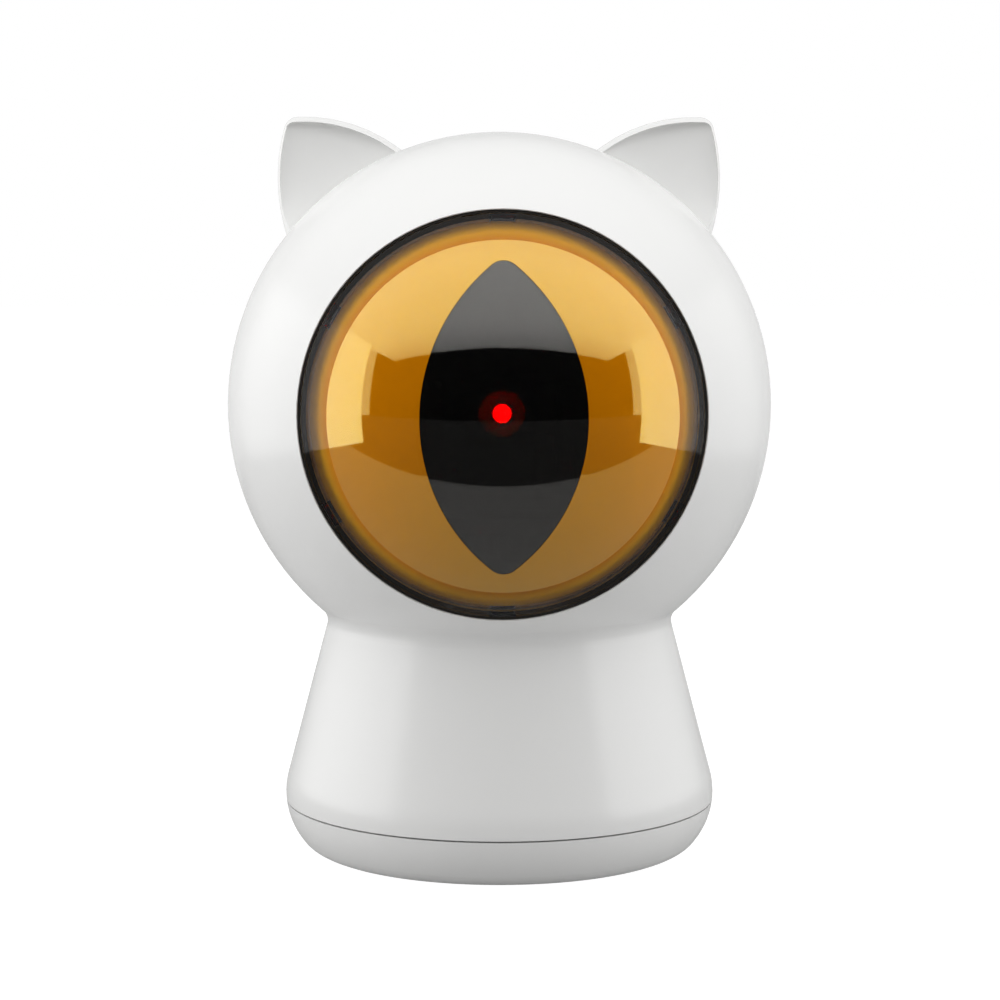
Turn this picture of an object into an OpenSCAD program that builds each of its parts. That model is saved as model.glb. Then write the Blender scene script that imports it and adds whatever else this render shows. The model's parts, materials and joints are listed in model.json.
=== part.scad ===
// Automatic cat laser toy: a round head with ears and one big eye on a flared base.
// Millimetres, +Z up, the eye looks along -Y, origin on the table under the head's centre.
// Inside, a two-axis geared gimbal aims the laser through the dark slit of the eye.

/* [Head and base] */
// Diameter of the round head
head_d = 100; // [96:1:106]
// Height of the head's centre above the table
head_z = 82.5; // [80:0.5:88]
// Wall of the moulded shells
wall = 2.2; // [1.8:0.1:2.6]
// Largest diameter of the base
base_d = 79.8; // [79:0.2:84]
// Slope of the base's side, from upright
side_angle = 14.85; // [13:0.05:16]
// Radius of the turn where the base is widest
base_round = 13.3; // [12:0.1:15]
// Radius of the base's lower edge
edge_round = 5.1; // [4.5:0.1:6]
// Slope below level at which the turn passes into the lower edge
edge_angle = 39.7; // [36:0.1:44]
// Radius of the hollow between head and base
neck_round = 3; // [2:0.5:5]
// Height of the seam above the base cover, over the cover's underside
seam_h = 9.05; // [8.6:0.05:10]
// Visible gap at the seam above the base cover
seam_gap = 0.3; // [0.25:0.05:0.5]
// Gap at the parting line of the two shells
part_gap = 0.16; // [0.1:0.02:0.3]
// Height of the locating tongue on the rear shell
tongue_h = 1.6; // [1:0.2:2.4]
// Thickness of the locating tongue
tongue_t = 0.9; // [0.7:0.1:1.1]

/* [Ears] */
// Radius of the ear's upper edge, seen from the front
ear_top_r = 29; // [26:0.5:32]
// Radius of the ear's outer edge, seen from the front
ear_side_r = 35.3; // [33:0.1:38]
// Height of the ear's tip above the head's centre
ear_tip_h = 52.9; // [51:0.1:56]
// Reach of the ear to the side of the head's centre
ear_reach = 40.8; // [39:0.2:42]
// Radius of the ear's rounded tip, seen from the front
ear_tip_r = 2.6; // [2.4:0.1:3.4]
// Radius of the ear's rolled edge
ear_edge_r = 1.9; // [1.5:0.1:2.3]
// Depth of the ear at its root, front to back
ear_root_t = 6.5; // [5.5:0.5:8]
// Rim between the upper edge and the hollow of the ear
ear_rim = 1; // [0.8:0.1:1.4]
// Rim between the outer edge and the hollow of the ear
ear_side_rim = 0.5; // [0.4:0.1:0.9]
// Depth of the ear's hollow
ear_hollow = 2.4; // [1.8:0.1:2.8]
// Radius of the ear's hollow
ear_hollow_r = 44; // [40:1:60]

/* [Eye] */
// Diameter of the eye opening in the front shell
eye_d = 70.4; // [68:0.2:72]
// Gap between the dome and the edge of the opening
eye_gap = 0.55; // [0.45:0.05:0.8]
// Depth of the dome below the head's surface
lens_drop = 0.4; // [0.2:0.1:0.8]
// Thickness of the dome
lens_t = 1.8; // [1.4:0.1:2.2]
// Depth of the dome's skirt
skirt_h = 4.6; // [4:0.2:5.4]
// Number of clips on the dome's skirt
clips = 6; // [3:1:8]
// Width of a clip
clip_w = 4; // [3:0.5:6]
// Width of the ring between the iris and the edge of the opening
iris_ring = 5.65; // [5:0.05:6]
// Thickness of the iris shell
iris_t = 1; // [0.8:0.1:1.4]
// Gap between the pupil's tips and the edge of the iris
pupil_margin = 3.45; // [3:0.05:5]
// Width of the pupil
pupil_w = 27.8; // [24:0.1:32]
// Radius of the pupil's tips
pupil_tip_r = 3; // [2:0.5:4]

/* [Gimbal] */
// Distance of the pan axis behind the bezel's lugs
gimbal_gap = 10; // [9:0.5:11]
// Module of the gear teeth
tooth_m = 0.8; // [0.76:0.02:0.82]
// Teeth of the pan gear
pan_teeth = 32; // [30:2:34]
// Teeth of both pinions
pinion_teeth = 12; // [12:1:13]
// Teeth of the tilt gear, if it went all the way round
tilt_teeth = 30; // [28:2:32]
// Width of the gear teeth
gear_w = 4; // [3.4:0.2:4.4]
// Play between meshing teeth
backlash = 0.16; // [0.12:0.02:0.24]
// Height of the tilt axis above the yoke's floor
yoke_h = 18.9; // [18.5:0.1:20]
// Thickness of the yoke
yoke_t = 2.5; // [2:0.1:3]
// Inner width of the yoke
yoke_w = 21; // [20:0.5:23]
// Diameter of the laser barrel
barrel_d = 8; // [7:0.5:9]
// Length of the laser barrel
barrel_l = 24; // [20:1:26]
// Diameter of the laser's front lens
beam_d = 3.3; // [2.6:0.1:4]
// Diameter of the trunnions of the laser cradle
trunnion_d = 3; // [2.4:0.2:3.4]
// Diameter of the pan shaft
pan_shaft_d = 5; // [4:0.5:6]
// Radial play of a shaft in its bush
play = 0.04; // [0.02:0.01:0.06]
// Diameter of the motors
motor_d = 12; // [10:0.5:13]
// Length of the motors
motor_l = 10; // [8:0.5:11]
// Diameter of the motor shafts
motor_shaft_d = 2; // [1.6:0.1:2.4]
// Thickness of the mechanism frame
frame_t = 2.4; // [2:0.1:3]

/* [Base fittings] */
// Diameter of a battery cell
cell_d = 14.5; // [14:0.1:14.6]
// Length of a battery cell with its button
cell_l = 50.5; // [48.5:0.1:50.6]
// Space between neighbouring cells
cell_gap = 0.4; // [0.3:0.1:0.8]
// Length of a pressed contact spring
spring_l = 3; // [2.4:0.2:3.2]
// Thickness of the battery tray
tray_t = 1.8; // [1.4:0.1:2.4]
// Gap between the tray's collar and the wall of the base
collar_gap = 0.7; // [0.5:0.05:0.9]
// Number of bayonet tabs
bayonet_tabs = 3; // [3:1:4]
// Width of a bayonet tab, in degrees
tab_angle = 20; // [16:1:22]
// Thickness of the circuit boards
board_t = 1.6; // [1.2:0.2:2]
// Height of the main board above the tray
board_lift = 4; // [3.5:0.5:5]
// Width of the main board
board_w = 48; // [44:1:49]
// Diameter of the power button
button_d = 8; // [7:0.5:8]
// Height of the power button over the base's surface
button_proud = 0.4; // [0.3:0.1:0.8]
// Travel of the power button
button_travel = 0.5; // [0.3:0.1:0.6]
// Height of the power button's centre
button_z = 35.5; // [35:0.5:36]
// Width of the power inlet's metal shell
inlet_w = 8.9; // [8.3:0.1:9.4]
// Height of the power inlet's metal shell
inlet_h = 3.2; // [2.8:0.1:3.6]
// Outer diameter of the foot ring
foot_d = 63; // [60:1:64]
// Width of the foot ring
foot_w = 5; // [4:0.5:8]
// Height of the base cover above the table, on its foot ring
foot_proud = 0.3; // [0.2:0.1:0.6]
// Clearance between fixed pieces that fit together
snug = 0.1; // [0.06:0.02:0.16]
// Clearance between pieces that move past each other
free = 0.3; // [0.25:0.05:0.4]

/* [Hidden] */
$fn = 96;

// The body's half section: head circle, neck fillet, straight side, turn and lower edge
head_r = head_d / 2;
head_c = [0, head_z];
side_out = [cos(side_angle), sin(side_angle)];
side_down = [sin(side_angle), -cos(side_angle)];
edge_dir = [cos(edge_angle), -sin(edge_angle)];
turn_c = [base_d / 2 - base_round,
          foot_proud + edge_round + (base_round - edge_round) * sin(edge_angle)];
edge_c = turn_c + (base_round - edge_round) * edge_dir;
neck_out = (turn_c - head_c) * side_out + base_round + neck_round;
neck_along = sqrt(pow(head_r + neck_round, 2) - pow(neck_out, 2));
neck_c = head_c + neck_out * side_out + neck_along * side_down;
seam_z = foot_proud + seam_h;
big = 3 * head_d;
// Overlap of neighbouring arcs, so that they cross in clean edges
ease = 0.01;

// Radius of the base's straight side at a height, set in by a distance
function side_r(z, inset = 0) =
    turn_c[0] + (base_round - inset) / cos(side_angle) - (z - turn_c[1]) * tan(side_angle);
// Depth of a point on a sphere, from the distance to its axis
function sphere_z(r, d) = sqrt(r * r - d * d);
function polar(r, a) = [r * cos(a), r * sin(a)];

module body_half(inset = 0) {
    floor_z = foot_proud + inset;
    turn_r = base_round - inset;
    head_in = head_r - inset;
    neck_in = neck_round + inset;
    low = turn_c + turn_r * edge_dir;
    high = turn_c + (turn_r - ease) * side_out;
    touch = head_c + (neck_c - head_c) * head_in / (head_r + neck_round);
    difference() {
        union() {
            intersection() {
                translate(head_c) circle(head_in);
                translate([0, head_z - head_r]) square([head_d, 2 * head_d]);
            }
            translate([0, floor_z]) square([edge_c[0], turn_c[1] - floor_z]);
            translate(edge_c) circle(edge_round - inset + ease);
            intersection() {
                translate(turn_c) circle(turn_r);
                translate([0, low[1]]) square([head_d, high[1] - low[1] + 2]);
            }
            polygon([[0, turn_c[1]], turn_c, high, neck_c - (neck_in + ease) * side_out, neck_c, touch,
                     head_c]);
        }
        translate(neck_c) circle(neck_in + 2 * ease);
    }
}

module body(inset = 0) rotate_extrude() body_half(inset);

// The half space in front of a plane across Y (side -1) or behind it (side 1)
module half_space(side, y = 0)
    translate([-big, side < 0 ? y - big : y, -big]) cube([2 * big, big, 2 * big]);

module above(z) translate([-big, -big, z]) cube([2 * big, 2 * big, big]);

module below(z) translate([-big, -big, z - big]) cube([2 * big, 2 * big, big]);

// Local +Z looks out of the eye, local +Y is up
module on_eye() translate([0, 0, head_z]) rotate([90, 0, 0]) children();

// Local XY is the world's YZ plane, local +Z is the world's +X
module on_side(x) translate([x, -pan_y, head_z]) rotate([90, 0, 90]) children();

// A rod along +Y or -Y between two depths
module y_rod(x, z, y0, y1, d)
    translate([x, max(y0, y1), z]) rotate([90, 0, 0]) cylinder(d = d, h = abs(y1 - y0));

// A pan-head screw with a crossed recess, head up, tip at -len
module screw(d, len) {
    head_w = 1.9 * d;
    head_t = 0.7 * d;
    difference() {
        union() {
            translate([0, 0, -len]) cylinder(d = d, h = len);
            cylinder(d = head_w, h = head_t);
        }
        for (a = [0, 90])
            rotate(a) translate([-0.6 * d, -0.13 * d, 0.3 * head_t]) cube([1.2 * d, 0.26 * d, head_t]);
    }
}

// An upright rod at a place in plan, between two heights
module z_rod(at, z0, z1, d) translate([at[0], at[1], z0]) cylinder(d = d, h = z1 - z0);

shell_white = [0.95, 0.95, 0.94];
amber = [0.72, 0.46, 0.12];
board_green = [0.1, 0.35, 0.2];
steel = [0.75, 0.76, 0.78];
grey_plastic = [0.3, 0.31, 0.33];

// The battery stack in the base
cell_z = foot_proud + wall + 0.9 + cell_d / 2;
cell_pitch = cell_d + cell_gap;
bay_l = cell_l + spring_l;
tray_z = cell_z + cell_d / 2 + 0.4;
tray_top = tray_z + tray_t;
board_z = tray_top + board_lift;
board_top = board_z + board_t;
contact_t = 0.4;
end_wall = 1.3;
collar_d = 2 * (side_r(tray_top, wall) - collar_gap);

// Small screws; a pilot hole is wider than its screw by this much all round
small_screw_d = 2;
clamp_screw_d = 1.2;
thread_gap = 0.02;
// Extra width of a hole that a screw only passes through
pass = 0.3;

// Screw bosses at the foot of both shells, for the battery tray
tray_screw_d = 2.6;
tray_screw_l = 9;
boss_d = 6.4;
boss_web = 1.8;
boss_at = polar(collar_d / 2 - wall - boss_d / 2 + 1.5, 22.5);
boss_h = 13;

// Frame bosses inside the rear shell
frame_screw_d = 2.6;
frame_screw_l = 9;
lug_y = 6;
lug_t = 2.4;
lug_w = 8;

eye_r = eye_d / 2;
cavity_r = head_r - wall;
rim_r = eye_r - eye_gap;
lens_r = head_r - lens_drop;
skirt_z = sphere_z(lens_r, rim_r) - skirt_h;
iris_r = lens_r - lens_t - 2 * snug;
iris_d = eye_d - 2 * iris_ring;
skirt_t = 1.6;
iris_wall = 0.8;
sleeve_r = iris_d / 2 - 0.7;
sleeve_t = 1.2;
pupil_flange = 1.2;
pupil_h = iris_d - 2 * pupil_margin;
flange_t = 2;
bezel_boss_d = 5;
bezel_boss_h = 1.07;
bezel_screw_l = 4.2;
bezel_lug_w = 7;
bezel_leg_t = 2;
bezel_lug_z = skirt_z - flange_t - 4.9;
bezel_screw_r = sphere_z(cavity_r, bezel_lug_z + flange_t + bezel_boss_h);
bezel_leg_r = bezel_screw_r - bezel_boss_d / 2 - 2.3 - bezel_leg_t;
bezel_lugs = [0, 120, 240];
pan_y = bezel_lug_z - gimbal_gap;
frame_r = cavity_r - 11.8;
frame_front = 8.5;
frame_depth = 40;

// Gimbal heights and reaches
pan_c = tooth_m * (pan_teeth + pinion_teeth) / 2;
tilt_c = tooth_m * (tilt_teeth + pinion_teeth) / 2;
tilt_dir = -45;
tilt_mesh = polar(tilt_c, tilt_dir);
yoke_floor = head_z - yoke_h;
gear_top = yoke_floor - yoke_t;
flange_top = gear_top - gear_w - 0.2;
bush_flange_t = 0.8;
frame_top = flange_top - bush_flange_t;
frame_low = frame_top - frame_t;
bush_wall = 1.5;
bush_l = 5;

// ---------------------------------------------------------------- shells

module shell_half(side) {
    intersection() {
        difference() {
            body();
            body(wall);
        }
        half_space(side, side * part_gap / 2);
        above(seam_z + seam_gap / 2);
    }
}

// Bosses for the tray's screws, each with a web to the wall
module tray_bosses(side) {
    intersection() {
        for (s = [-1, 1])
            translate([s * boss_at[0], side * boss_at[1], tray_top]) difference() {
                linear_extrude(boss_h) {
                    circle(d = boss_d);
                    rotate(atan2(side * boss_at[1], s * boss_at[0]))
                        translate([0, -boss_web / 2]) square([boss_d, boss_web]);
                }
                translate([0, 0, -1]) cylinder(d = tray_screw_d + 2 * thread_gap, h = boss_h);
            }
        body(wall / 2);
    }
}

module bezel_bosses() {
    on_eye() intersection() {
        for (a = bezel_lugs)
            rotate(a) translate([bezel_screw_r, 0, bezel_lug_z + flange_t])
                cylinder(d = bezel_boss_d, h = head_r / 4);
        sphere(head_r - wall / 2);
    }
}

module front_shell() color(shell_white) {
    opening = sphere_z(head_r, eye_r);
    difference() {
        union() {
            shell_half(-1);
            tray_bosses(-1);
            difference() {
                bezel_bosses();
                on_eye() cylinder(r = eye_r + 0.6, h = head_r);
            }
        }
        intersection() {
            body(wall - tongue_t - snug);
            half_space(1, -tongue_h - snug);
        }
        on_eye() for (a = bezel_lugs)
            rotate(a) translate([bezel_screw_r, 0, bezel_lug_z])
                cylinder(d = small_screw_d + 2 * thread_gap, h = bezel_screw_l + 0.2);
        on_eye() cylinder(r = eye_r, h = head_d);
        on_eye() translate([0, 0, opening - 0.4])
            cylinder(r1 = eye_r - 0.1, r2 = eye_r + 1.1, h = 1.2);
    }
}

// Centres of the ear's two edge circles, from the head's centre
ear_top_c = [ear_reach - 5.1, ear_tip_h - ear_top_r];
ear_side_c = [ear_reach - ear_side_r, ear_tip_h - 11.4];
// Where the edges end inside the head, as angles on their circles
ear_top_end = 140;
ear_side_end = -22;
// Middle of the ear's hollow, seen from the front, and the plane that the ear's face starts at
ear_hollow_at = [ear_reach - 9.5, ear_tip_h - 8.5];
ear_front = 0.2;

// Where both edge circles meet once each is set in by its own distance
function ear_corner(side_in, top_in) =
    let (between = ear_top_c - ear_side_c,
         apart = norm(between),
         side_to = ear_side_r - side_in,
         top_to = ear_top_r - top_in,
         along = (apart * apart + side_to * side_to - top_to * top_to) / (2 * apart),
         u = between / apart)
    ear_side_c + along * u + sqrt(side_to * side_to - along * along) * [-u[1], u[0]];

function bearing(from, to) = atan2(to[1] - from[1], to[0] - from[0]);

// The ear seen from the front, set in from its edges, with a rounded tip
module ear_outline(side_in, top_in) {
    tip_r = ear_tip_r - top_in;
    tip_c = ear_corner(side_in + tip_r, top_in + tip_r);
    low = bearing(ear_side_c, tip_c);
    high = bearing(ear_top_c, tip_c);
    difference() {
        intersection() {
            translate(ear_top_c) circle(ear_top_r - top_in);
            translate(ear_side_c) circle(ear_side_r - side_in);
            translate([ear_side_c[0], ear_tip_h - ear_top_r]) square(head_r);
        }
        translate(tip_c) difference() {
            polygon([[0, 0], polar(3 * tip_r, low), polar(3 * tip_r, (low + high) / 2), polar(3 * tip_r, high)]);
            circle(tip_r + ease);
        }
    }
}

module ear_ball(p, y) translate([p[0], y, p[1]]) sphere(r = ear_edge_r, $fn = 32);

// One ear on the +X side: a rolled edge along both arcs, deeper at the root, with a hollow front
module ear() {
    steps = 8;
    tip_steps = 3;
    y0 = ear_front + ear_edge_r;
    tip_c = ear_corner(ear_tip_r, ear_tip_r);
    low = bearing(ear_side_c, tip_c);
    high = bearing(ear_top_c, tip_c);
    difference() {
        translate([0, 0, head_z]) hull() {
            for (i = [0 : steps]) {
                k = i / steps;
                top_p = ear_top_c + polar(ear_top_r - ear_edge_r, high + k * (ear_top_end - high));
                side_p = ear_side_c + polar(ear_side_r - ear_edge_r, low + k * (ear_side_end - low));
                deep = y0 + k * (ear_root_t - 2 * ear_edge_r);
                ear_ball(top_p, y0);
                ear_ball(side_p, y0);
                ear_ball(top_p, deep);
                ear_ball(side_p, deep);
            }
            for (i = [1 : tip_steps - 1])
                ear_ball(tip_c + polar(ear_tip_r - ear_edge_r, low + i * (high - low) / tip_steps), y0);
        }
        translate([0, 0, head_z]) intersection() {
            rotate([90, 0, 0]) translate([0, 0, -big / 2]) linear_extrude(big) ear_outline(ear_side_rim, ear_rim);
            translate([ear_hollow_at[0], ear_front + ear_hollow - ear_hollow_r, ear_hollow_at[1]])
                sphere(ear_hollow_r, $fn = 3 * $fn);
        }
        body(wall / 2);
    }
}

wall_at_button = side_r(button_z, wall);
button_board_y = 21;
button_screw_x = 8;
button_screw_l = 5;

module rear_shell() color(shell_white) {
    usb_z = board_top + inlet_h / 2;
    difference() {
        union() {
            shell_half(1);
            tray_bosses(1);
            intersection() {
                difference() {
                    body(wall - tongue_t);
                    body(wall);
                }
                half_space(1, -tongue_h);
                half_space(-1, wall);
                above(seam_z + seam_gap / 2);
                // the tongue stops either side of the crown
                difference() {
                    above(-big / 2);
                    translate([-4, -big / 2, head_z]) cube([8, big, head_d]);
                }
            }
            ear();
            mirror([1, 0, 0]) ear();
            intersection() {
                for (p = frame_lugs)
                    y_rod(p[0], p[1], lug_y, head_r, boss_d);
                body(wall / 2);
            }
            intersection() {
                for (s = [-1, 1])
                    y_rod(s * button_screw_x, button_z, button_board_y, head_r, 4.4);
                body(wall / 2);
            }
        }
        for (p = frame_lugs)
            y_rod(p[0], p[1], lug_y - 1, lug_y + frame_screw_l, frame_screw_d + 2 * thread_gap);
        for (s = [-1, 1])
            y_rod(s * button_screw_x, button_z, button_board_y - 1, button_board_y + button_screw_l,
                  small_screw_d + 2 * thread_gap);
        y_rod(0, button_z, wall_at_button - 6, head_r, button_d + 2 * free);
        inlet_slot(usb_z, 27, 0.35);
    }
}

// A rounded slot along Y for the power inlet
module inlet_slot(z, y0, grow, y1 = head_r) {
    h = inlet_h + 2 * grow;
    w = inlet_w + 2 * grow;
    translate([0, y1, z]) rotate([90, 0, 0]) linear_extrude(y1 - y0) {
        square([w - h, h], center = true);
        for (s = [-1, 1])
            translate([s * (w - h) / 2, 0]) circle(d = h);
    }
}

// ---------------------------------------------------------------- base cover and tray

tab_z = seam_z - 3.4;
tab_t = 1.2;
tab_out = sphere_z(base_round - wall, turn_c[1] - tab_z) + turn_c[0] - free;

// A ring segment about Z, centred on an angle
module ring_part(r0, r1, angle, at)
    rotate(at - angle / 2) rotate_extrude(angle = angle) translate([r0, 0]) square([r1 - r0, tab_t]);

module base_cover() color(shell_white) {
    lock_z = tab_z + tab_t + free;
    difference() {
        union() {
            intersection() {
                difference() {
                    body();
                    body(wall);
                }
                below(seam_z - seam_gap / 2);
            }
            intersection() {
                for (i = [0 : bayonet_tabs - 1])
                    translate([0, 0, lock_z])
                        ring_part(collar_d / 2 + free, base_d / 2, tab_angle, i * 360 / bayonet_tabs + 90);
                body(wall / 2);
                below(seam_z - seam_gap / 2);
            }
        }
        translate([0, 0, -1]) difference() {
            cylinder(d = foot_d + 2 * snug, h = foot_proud + 0.7 + 1);
            translate([0, 0, -1]) cylinder(d = foot_d - 2 * foot_w - 2 * snug, h = wall + 4);
        }
    }
}

module foot_ring() color([0.2, 0.2, 0.2]) {
    rib = 0.3;
    difference() {
        cylinder(d = foot_d, h = foot_proud + 0.7);
        translate([0, 0, -1]) cylinder(d = foot_d - 2 * foot_w, h = wall + 4);
        for (k = [1, 2])
            translate([0, 0, -1]) difference() {
                cylinder(d = foot_d - 2 * foot_w * k / 3 + rib, h = 1 + rib);
                translate([0, 0, -1]) cylinder(d = foot_d - 2 * foot_w * k / 3 - rib, h = 4);
            }
    }
}

// Where the three cells lie; their ends alternate, way 1 has its button at +Y
cells = [[-cell_pitch, 1], [0, -1], [cell_pitch, 1]];

module cell_room(x) {
    r = cell_d / 2 + free;
    half = bay_l / 2;
    y_rod(x, cell_z, -half, half, 2 * r);
    translate([x - r, -half, cell_z - cell_d]) cube([2 * r, 2 * half, cell_d]);
}

module battery_tray() color([0.85, 0.85, 0.84]) {
    inner_r = collar_d / 2 - 1;
    low = foot_proud + wall + 1.9;
    plate_y = bay_l / 2 + contact_t;
    difference() {
        union() {
            translate([0, 0, tray_z]) cylinder(d = collar_d, h = tray_t);
            translate([0, 0, low]) difference() {
                cylinder(d = collar_d, h = tray_z - low + 0.5);
                translate([0, 0, -1]) cylinder(r = inner_r, h = tray_z);
            }
            intersection() {
                translate([0, 0, low]) cylinder(d = collar_d, h = tray_z);
                union() {
                    for (s = [-1, 1])
                        translate([-1.6 * cell_pitch, s * (plate_y + end_wall / 2) - end_wall / 2, low])
                            cube([3.2 * cell_pitch, end_wall, tray_z - low + 0.5]);
                    for (x = [-1.5, -0.5, 0.5, 1.5])
                        translate([x * cell_pitch - 0.6, -bay_l / 2, tray_z - 6])
                            cube([1.2, bay_l, 6.5]);
                }
            }
            for (i = [0 : bayonet_tabs - 1])
                translate([0, 0, tab_z])
                    ring_part(collar_d / 2 - 0.5, tab_out, tab_angle, i * 360 / bayonet_tabs + 90);
            for (p = board_posts)
                translate([p[0], p[1], tray_z]) cylinder(d = 5, h = tray_t + board_lift);
        }
        for (c = cells)
            cell_room(c[0]);
        translate([-1.6 * cell_pitch, -plate_y - snug, cell_z - 5]) cube([3.2 * cell_pitch, 1.2, 10]);
        translate([-1.6 * cell_pitch, plate_y + snug - 1.2, cell_z - 5]) cube([3.2 * cell_pitch, 1.2, 10]);
        for (p = board_posts)
            translate([p[0], p[1], tray_top]) cylinder(d = small_screw_d + 2 * thread_gap, h = board_lift + 1);
        for (s = [-1, 1], t = [-1, 1])
            translate([s * boss_at[0], t * boss_at[1], tray_z - 1]) cylinder(d = tray_screw_d + pass, h = 6);
        for (p = lead_holes)
            translate([p[0], p[1], tray_z - 1]) cylinder(d = 2.2, h = 6);
    }
}

module tray_screws() color(steel)
    for (s = [-1, 1], t = [-1, 1])
        translate([s * boss_at[0], t * boss_at[1], tray_z]) mirror([0, 0, 1]) screw(tray_screw_d, tray_screw_l);

module battery_cell(x, way) {
    button = 1;
    body_l = cell_l - button;
    y0 = way > 0 ? -bay_l / 2 + spring_l : -bay_l / 2 + button;
    tip0 = way > 0 ? y0 + body_l : y0 - button;
    color([0.15, 0.15, 0.17]) y_rod(x, cell_z, y0, y0 + body_l, cell_d);
    color(steel) y_rod(x, cell_z, tip0, tip0 + button, 5.5);
}

// A spring as one swept wire; its ends lie flat against the cell and the plate
module spring_wire(r, length, turns, wire) {
    sides = 6;
    per_turn = 16;
    count = turns * per_turn;
    pts = [for (i = [0 : count], j = [0 : sides - 1])
        let (a = 360 * i / per_turn, c = wire / 2 + (length - wire) * i / count, b = 360 * j / sides,
             w = wire / 2 * cos(180 / sides))
        [(r + w * cos(b)) * cos(a), (r + w * cos(b)) * sin(a), c + w * sin(b)]];
    quads = [for (i = [0 : count - 1], j = [0 : sides - 1])
        let (k = (j + 1) % sides)
        each [[i * sides + j, (i + 1) * sides + j, i * sides + k],
              [i * sides + k, (i + 1) * sides + j, (i + 1) * sides + k]]];
    first = [for (j = [1 : sides - 2]) [0, j, j + 1]];
    last = [for (j = [1 : sides - 2]) [count * sides, count * sides + j + 1, count * sides + j]];
    polyhedron(points = pts, faces = concat(quads, first, last), convexity = 6);
}

module contact_springs() color(steel)
    for (c = cells)
        translate([c[0], -c[1] * bay_l / 2, cell_z]) rotate([-90 * c[1], 0, 0])
            spring_wire(2.8, spring_l, 3, 0.6);

module contact_plates() color(steel) {
    h = 9;
    w = 10;
    for (s = [-1, 1], i = [0 : 2])
        translate([cells[i][0] - w / 2, s * (bay_l / 2 + contact_t / 2) - contact_t / 2, cell_z - h / 2])
            cube([w, contact_t, h]);
    // bridges join the left pair at the front and the right pair at the back
    for (s = [-1, 1])
        translate([s > 0 ? 0 : -cell_pitch, s * (bay_l / 2 + contact_t / 2) - contact_t / 2, cell_z + 1])
            cube([cell_pitch, contact_t, 3]);
    // solder tails under the lead holes
    for (p = lead_holes)
        translate([p[0] - 1, p[1] > 0 ? bay_l / 2 : -bay_l / 2 - contact_t, cell_z])
            cube([2, contact_t, tray_z - cell_z - 0.6]);
}

// ---------------------------------------------------------------- eye

// A hollow ball with its poles above and below, away from the middle of the eye
module dome(outer, inner)
    rotate([90, 0, 0]) difference() {
        sphere(outer);
        sphere(inner);
    }

module eye_lens() color(concat(amber, 0.55)) on_eye() {
    intersection() {
        dome(lens_r, lens_r - lens_t);
        translate([0, 0, skirt_z]) cylinder(r = rim_r, h = head_r);
    }
    intersection() {
        translate([0, 0, skirt_z]) difference() {
            cylinder(r = rim_r, h = skirt_h + 1);
            translate([0, 0, -1]) cylinder(r = rim_r - skirt_t, h = skirt_h + 3);
        }
        sphere(lens_r);
    }
    for (i = [0 : clips - 1])
        rotate(90 + i * 360 / clips) clip();
}

// One clip: a tongue from the skirt through the bezel, with a barb behind it
module clip() {
    reach = flange_t + 1.4;
    translate([rim_r - 1.5, -clip_w / 2, skirt_z - reach]) cube([1.2, clip_w, reach + 1]);
    translate([rim_r - 1.5, clip_w / 2, skirt_z - reach]) rotate([90, 0, 0]) linear_extrude(clip_w)
        polygon([[0, 0], [0, 1.2], [-0.7, 1.2]]);
}

// The pupil's outline: two wide arcs that meet in rounded tips
module pupil_shape(grow = 0) {
    w = pupil_w / 2;
    tip_c = pupil_h / 2 - pupil_tip_r;
    r = (tip_c * tip_c + w * w - pupil_tip_r * pupil_tip_r) / (2 * (w - pupil_tip_r));
    lean = asin(tip_c / (r - pupil_tip_r));
    touch = tip_c + pupil_tip_r * sin(lean);
    intersection() {
        translate([w - r, 0]) circle(r + grow);
        translate([r - w, 0]) circle(r + grow);
        square([4 * w, 2 * (touch + grow * sin(lean))], center = true);
    }
    for (s = [-1, 1])
        translate([0, s * tip_c]) circle(pupil_tip_r + grow);
}

// The amber dome behind the clear one, and its skirt down to the bezel's flange
module iris_shell() color(amber) on_eye() {
    edge_r = iris_d / 2;
    lip_z = sphere_z(iris_r, edge_r) - iris_t / 3;
    foot_r = rim_r - skirt_t - free;
    difference() {
        intersection() {
            dome(iris_r, iris_r - iris_t);
            cylinder(r = edge_r, h = head_r);
        }
        linear_extrude(head_r) pupil_shape(snug / 2);
    }
    rotate_extrude() polygon([[edge_r - iris_wall, lip_z],
                              [edge_r, lip_z],
                              [foot_r, skirt_z],
                              [foot_r - iris_wall, skirt_z]]);
}

module pupil_window() color([0.02, 0.02, 0.02]) on_eye() {
    intersection() {
        dome(iris_r, iris_r - iris_t - 0.1);
        linear_extrude(head_r) pupil_shape(-snug / 2);
    }
    intersection() {
        dome(iris_r - iris_t - snug / 2, iris_r - iris_t - 1);
        linear_extrude(head_r) pupil_shape(pupil_flange);
    }
}

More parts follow.
